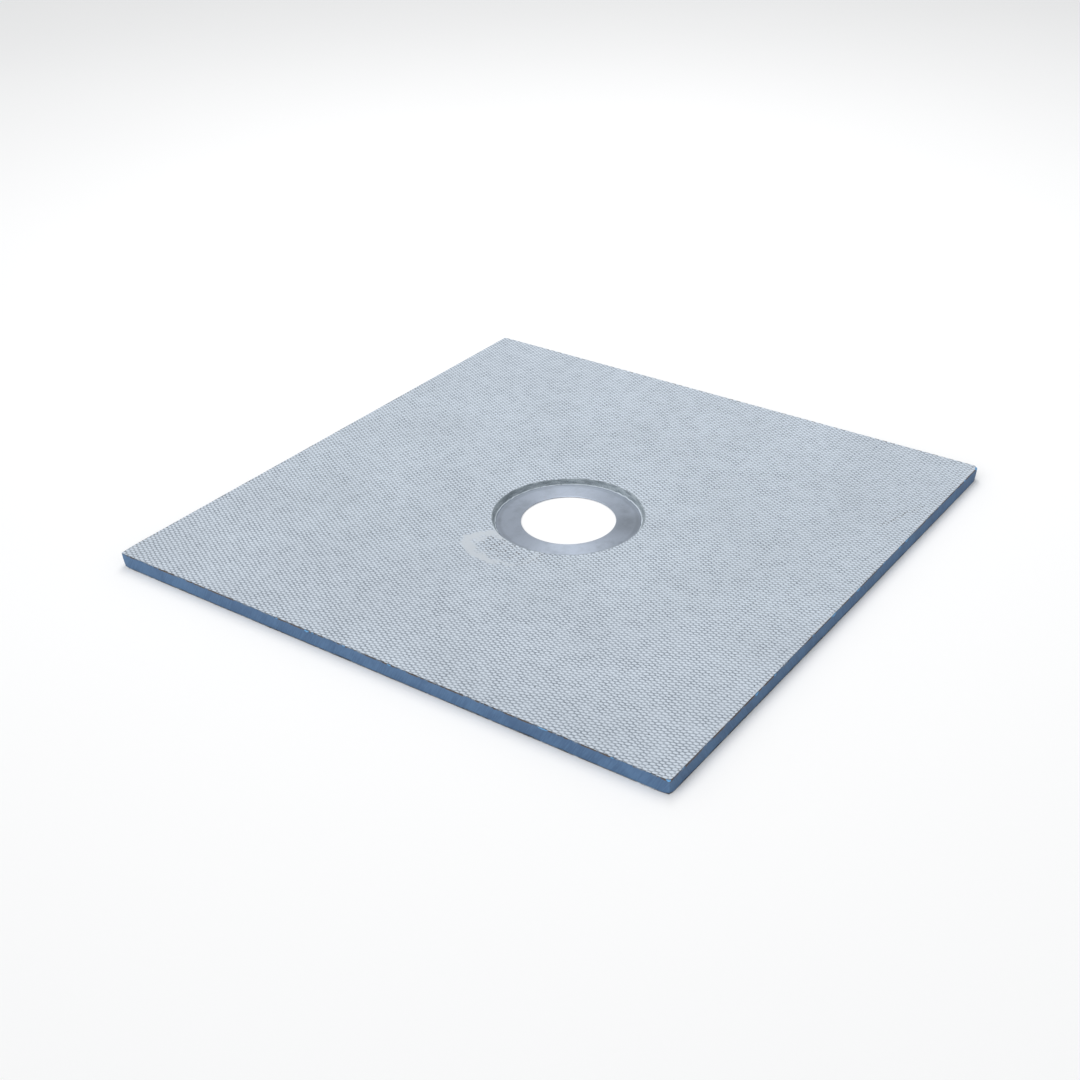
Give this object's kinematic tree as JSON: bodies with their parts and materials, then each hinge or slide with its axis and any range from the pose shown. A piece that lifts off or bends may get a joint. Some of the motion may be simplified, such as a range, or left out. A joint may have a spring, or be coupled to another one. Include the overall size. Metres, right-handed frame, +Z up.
{
  "type": "shower underlay board",
  "caption": "Square foam board faced with grey cement on both sides, its top falling on four facets to a round drain recess with a seat ring and a through hole.",
  "frame": {"origin": "middle of the underside, on the drain's centre line", "axes": "+Z up out of the tiled side, +X and +Y along the board's edges"},
  "size_m": [0.9, 0.9, 0.022],
  "materials": {
    "blue_foam": "extruded foam, closed cells, matt, with cutting marks on the edges",
    "cement_facing": "pale grey polymer cement with a small honeycomb relief, matt",
    "underside_cement": "grey polymer cement over a mesh, matt",
    "seat_ring": "smooth hard plastic with a turned satin finish"
  },
  "bodies": {
    "root": {"foam_core": "blue_foam", "top_facing": "cement_facing", "underside_facing": "underside_cement", "drain_seat_ring": "seat_ring"}
  },
  "joints": []
}
